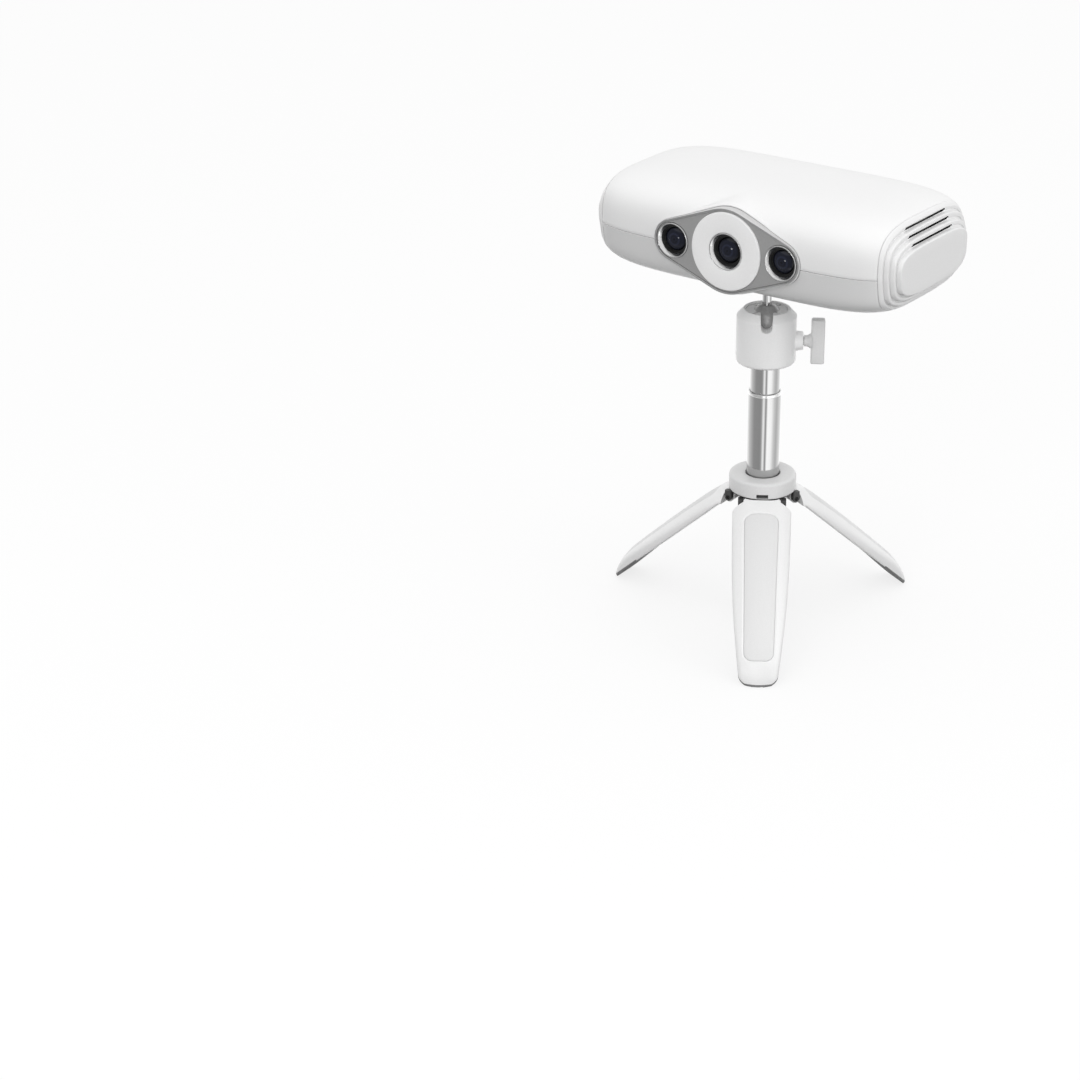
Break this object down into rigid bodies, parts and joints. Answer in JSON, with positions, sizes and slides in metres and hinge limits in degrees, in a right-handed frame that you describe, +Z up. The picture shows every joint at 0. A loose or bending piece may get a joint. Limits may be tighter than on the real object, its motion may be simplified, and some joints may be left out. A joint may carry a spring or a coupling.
{
  "type": "three-d scanner on a mini tripod",
  "caption": "Rounded three-d scanner head with a lens row and a ring light, on a mini tripod with a ball head, a telescopic column and folding legs.",
  "frame": {"origin": "on the floor under the column's axis", "axes": "+Z up along the column, -Y the way the lenses look, +X the head's right end seen from behind the lenses' view, where the clamp knob points"},
  "size_m": [0.155, 0.1378, 0.208],
  "materials": {
    "shell_white": "satin moulded",
    "cap_white": "satin moulded",
    "rim_bright": "bright turned",
    "plate_grey": "satin blasted",
    "diffuser_white": "milky",
    "chrome": "polished",
    "barrel_black": "matt",
    "lens_glass": "coated",
    "board_green": "solder resist",
    "led_yellow": "moulded",
    "cast_grey": "satin",
    "pad_blue": "soft",
    "ribbon_amber": "film",
    "steel": "plated",
    "jack_black": "moulded",
    "insert_brass": "turned",
    "housing_white": "satin paint",
    "seat_grey": "moulded",
    "ball_dark": "dark",
    "knob_grey": "moulded",
    "collar_grey": "satin paint",
    "bush_black": "moulded",
    "yoke_dark": "moulded",
    "leg_white": "satin moulded",
    "inlay_grey": "soft touch",
    "foot_rubber": "moulded"
  },
  "bodies": {
    "base": {"column_sleeve": "cast_grey", "sleeve_cap": "bush_black", "hub_collar": "collar_grey", "leg_yoke": "yoke_dark", "hinge_pins": "steel"},
    "lower_column": {"lower_tube": "chrome", "lip_ring": "chrome", "lower_bush": "bush_black"},
    "upper_column": {"upper_tube": "chrome", "upper_bush": "bush_black", "tube_plug": "cast_grey", "ball_housing": "housing_white", "ball_seat": "seat_grey"},
    "ball_part": {"ball": "ball_dark"},
    "stud_part": {"ball_stud": "steel"},
    "scanner_head": {"upper_shell": "shell_white", "lower_shell": "shell_white", "left_end_cap": "cap_white", "right_end_cap": "cap_white", "faceplate_rim": "rim_bright", "faceplate": "plate_grey", "ring_diffuser": "diffuser_white", "ring_board": "board_green", "ring_leds": "led_yellow", "centre_bezel": "chrome", "left_bezel": "chrome", "right_bezel": "chrome", "centre_barrel": "barrel_black", "left_barrel": "barrel_black", "right_barrel": "barrel_black", "centre_glass": "lens_glass", "left_glass": "lens_glass", "right_glass": "lens_glass", "optical_bench": "cast_grey", "left_camera_board": "board_green", "right_camera_board": "board_green", "light_engine": "cast_grey", "main_board": "board_green", "thermal_pad": "pad_blue", "heat_sink": "cast_grey", "camera_ribbons": "ribbon_amber", "usb_socket": "steel", "power_jack": "jack_black", "tripod_insert": "insert_brass", "shell_screws": "steel", "bench_screws": "steel", "board_screws": "steel"},
    "knob_part": {"clamp_knob": "knob_grey", "clamp_screw": "steel", "clamp_shoe": "cast_grey"},
    "front_leg_part": {"front_leg": "leg_white", "front_inlay": "inlay_grey", "front_foot": "foot_rubber"},
    "right_leg_part": {"right_leg": "leg_white", "right_inlay": "inlay_grey", "right_foot": "foot_rubber"},
    "left_leg_part": {"left_leg": "leg_white", "left_inlay": "inlay_grey", "left_foot": "foot_rubber"}
  },
  "joints": [
    {"name": "lower_slide", "type": "slide", "parent": "base", "child": "lower_column", "axis": [0, 0, 1], "range_m": [-0.036, 0.01]},
    {"name": "upper_slide", "type": "slide", "parent": "lower_column", "child": "upper_column", "axis": [0, 0, 1], "range_m": [-0.011, 0.03]},
    {"name": "ball_lean", "type": "hinge", "parent": "upper_column", "child": "ball_part", "pos_m": [0, 0, 0.1444], "axis": [0.5299, -0.848, 0], "range_deg": [-20, 20]},
    {"name": "ball_tilt", "type": "hinge", "parent": "ball_part", "child": "stud_part", "pos_m": [0, 0, 0.1444], "axis": [0.848, 0.5299, 0], "range_deg": [-20, 90]},
    {"name": "head_pan", "type": "hinge", "parent": "stud_part", "child": "scanner_head", "pos_m": [0, 0, 0.1444], "axis": [0, 0, 1], "continuous": true},
    {"name": "knob_turn", "type": "hinge", "parent": "upper_column", "child": "knob_part", "pos_m": [0, 0, 0.1342], "axis": [0.848, 0.5299, 0], "range_deg": [0, 360]},
    {"name": "front_leg_fold", "type": "hinge", "parent": "base", "child": "front_leg_part", "pos_m": [0.00625, -0.01001, 0.0586], "axis": [0.848, 0.5299, 0], "range_deg": [0, 47.8]},
    {"name": "right_leg_fold", "type": "hinge", "parent": "base", "child": "right_leg_part", "pos_m": [0.00554, 0.01042, 0.0586], "axis": [-0.8829, 0.4695, 0], "range_deg": [0, 47.8]},
    {"name": "left_leg_fold", "type": "hinge", "parent": "base", "child": "left_leg_part", "pos_m": [-0.01179, -0.00041, 0.0586], "axis": [0.0349, -0.9994, 0], "range_deg": [0, 47.8]}
  ]
}
